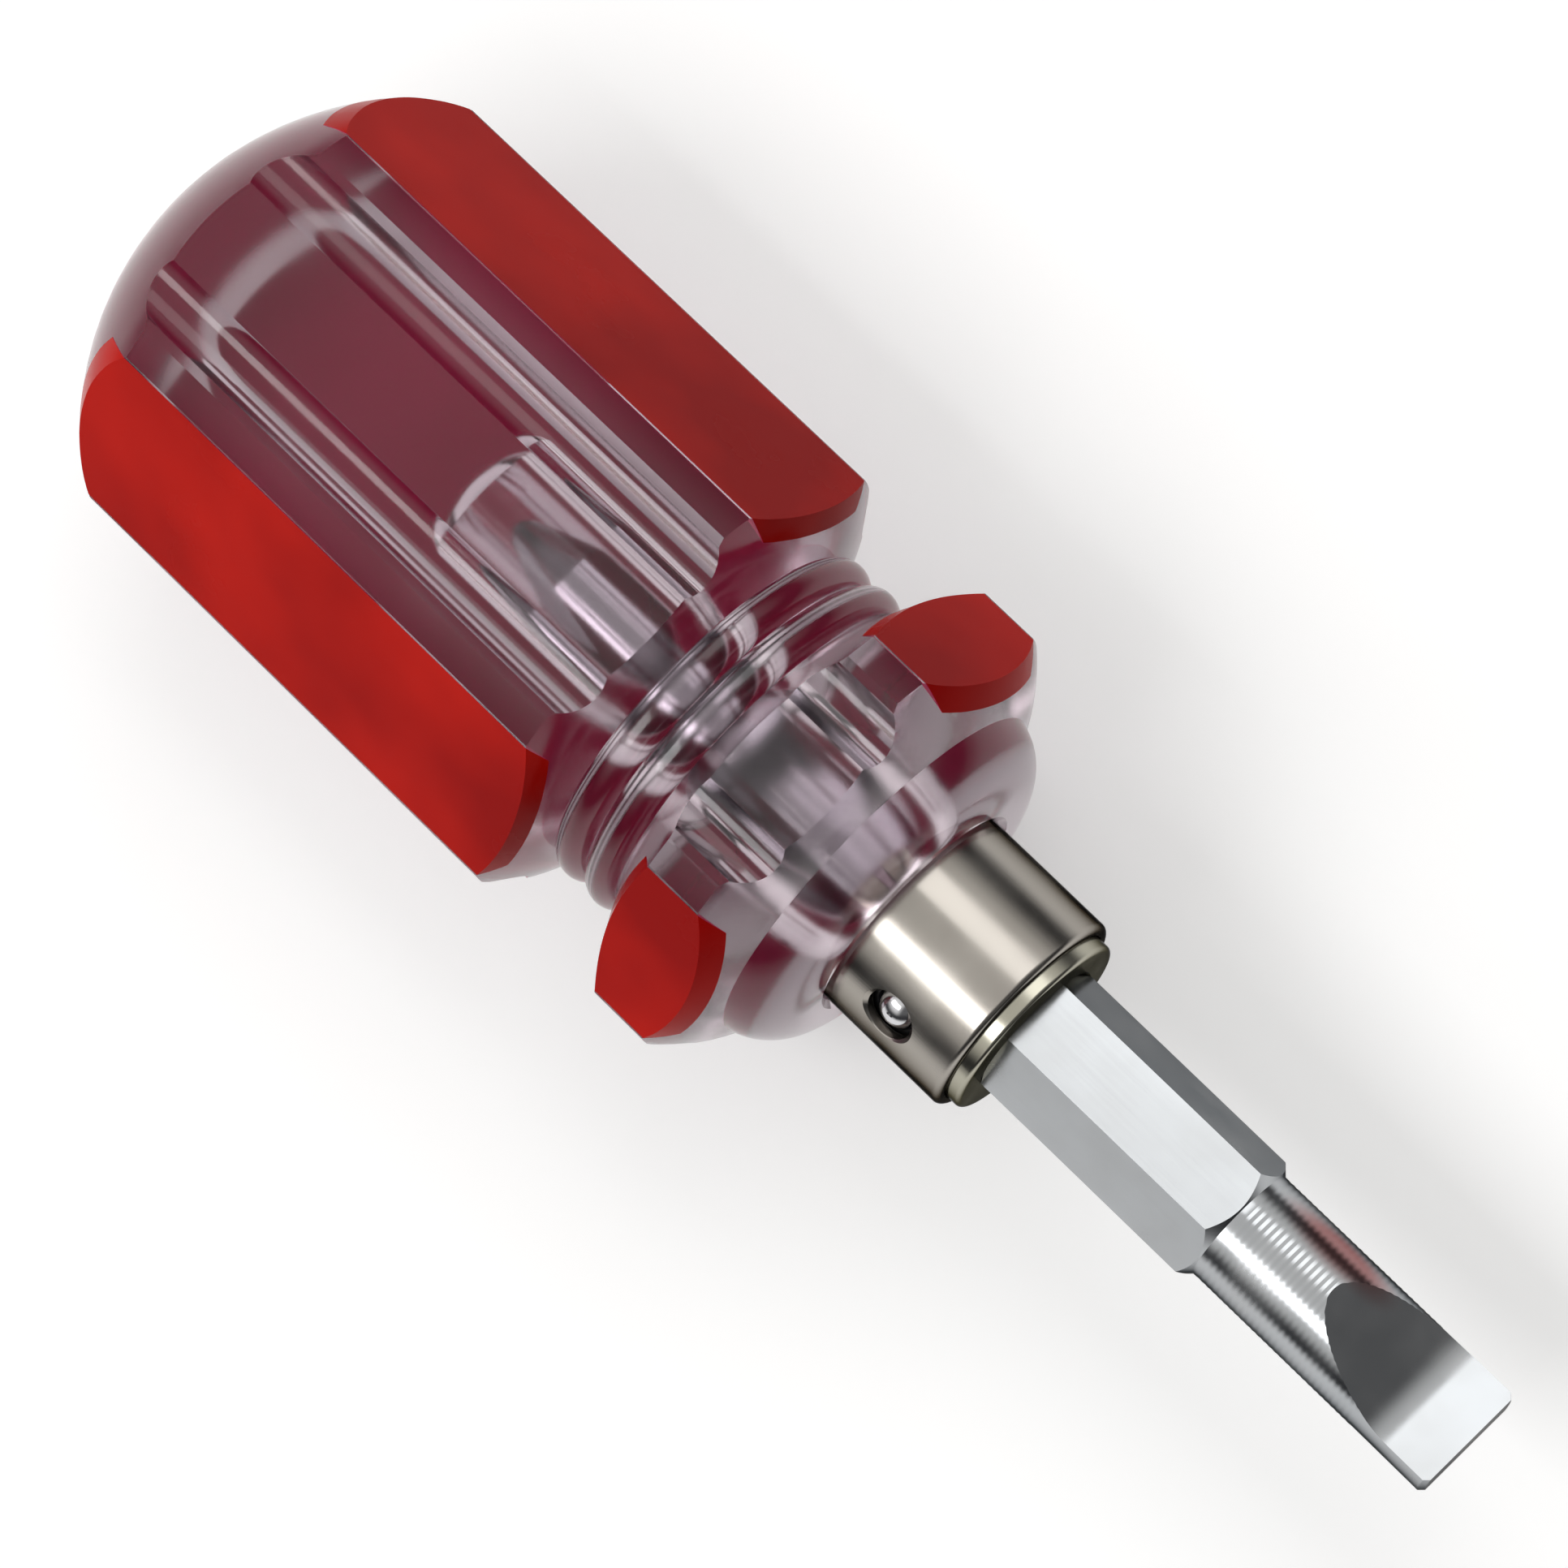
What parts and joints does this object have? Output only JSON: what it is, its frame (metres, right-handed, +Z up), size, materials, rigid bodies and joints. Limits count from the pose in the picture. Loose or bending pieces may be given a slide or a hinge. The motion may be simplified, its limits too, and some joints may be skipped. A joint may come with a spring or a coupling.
{
  "type": "pocket screwdriver",
  "caption": "Stubby screwdriver with a clear faceted handle, plated ferrule and a ball-held reversible hexagonal bit, slotted at one end and cross-pointed at the other.",
  "frame": {"origin": "centre of the box's base: under the middle of the tool, on the surface that its lowest red flats rest on", "axes": "+X along the tool towards the slotted tip, +Y across it to the left, +Z up through the topmost clear flat"},
  "size_m": [0.086, 0.0264, 0.0238],
  "materials": {
    "clear_acetate": "clear, faintly lilac, polished acetate",
    "red_strip": "opaque glossy red",
    "nickel_plate": "warm bright nickel plate",
    "socket_steel": "turned and plated steel",
    "spring_steel": "rolled spring steel",
    "ball_steel": "polished steel",
    "bit_steel": "satin plate, turned at the ends, ground blade"
  },
  "bodies": {
    "handle_body": {"handle": "clear_acetate", "grip_strip_bottom": "red_strip", "grip_strip_left": "red_strip", "grip_strip_right": "red_strip", "guard_strip_bottom": "red_strip", "guard_strip_left": "red_strip", "guard_strip_right": "red_strip", "ferrule": "nickel_plate", "socket": "socket_steel", "detent_spring": "spring_steel"},
    "bit_body": {"bit": "bit_steel"},
    "ball_body": {"detent_ball": "ball_steel"}
  },
  "joints": [
    {"name": "bit_slide", "type": "slide", "parent": "handle_body", "child": "bit_body", "axis": [1, 0, 0], "range_m": [0, 0.036]},
    {"name": "ball_lift", "type": "slide", "parent": "handle_body", "child": "ball_body", "axis": [0, -0.788, 0.6157], "range_m": [0, 0.00014], "stiffness_N_per_m": 200, "springref_m": -0.0001, "deforming": ["detent_spring"]}
  ]
}
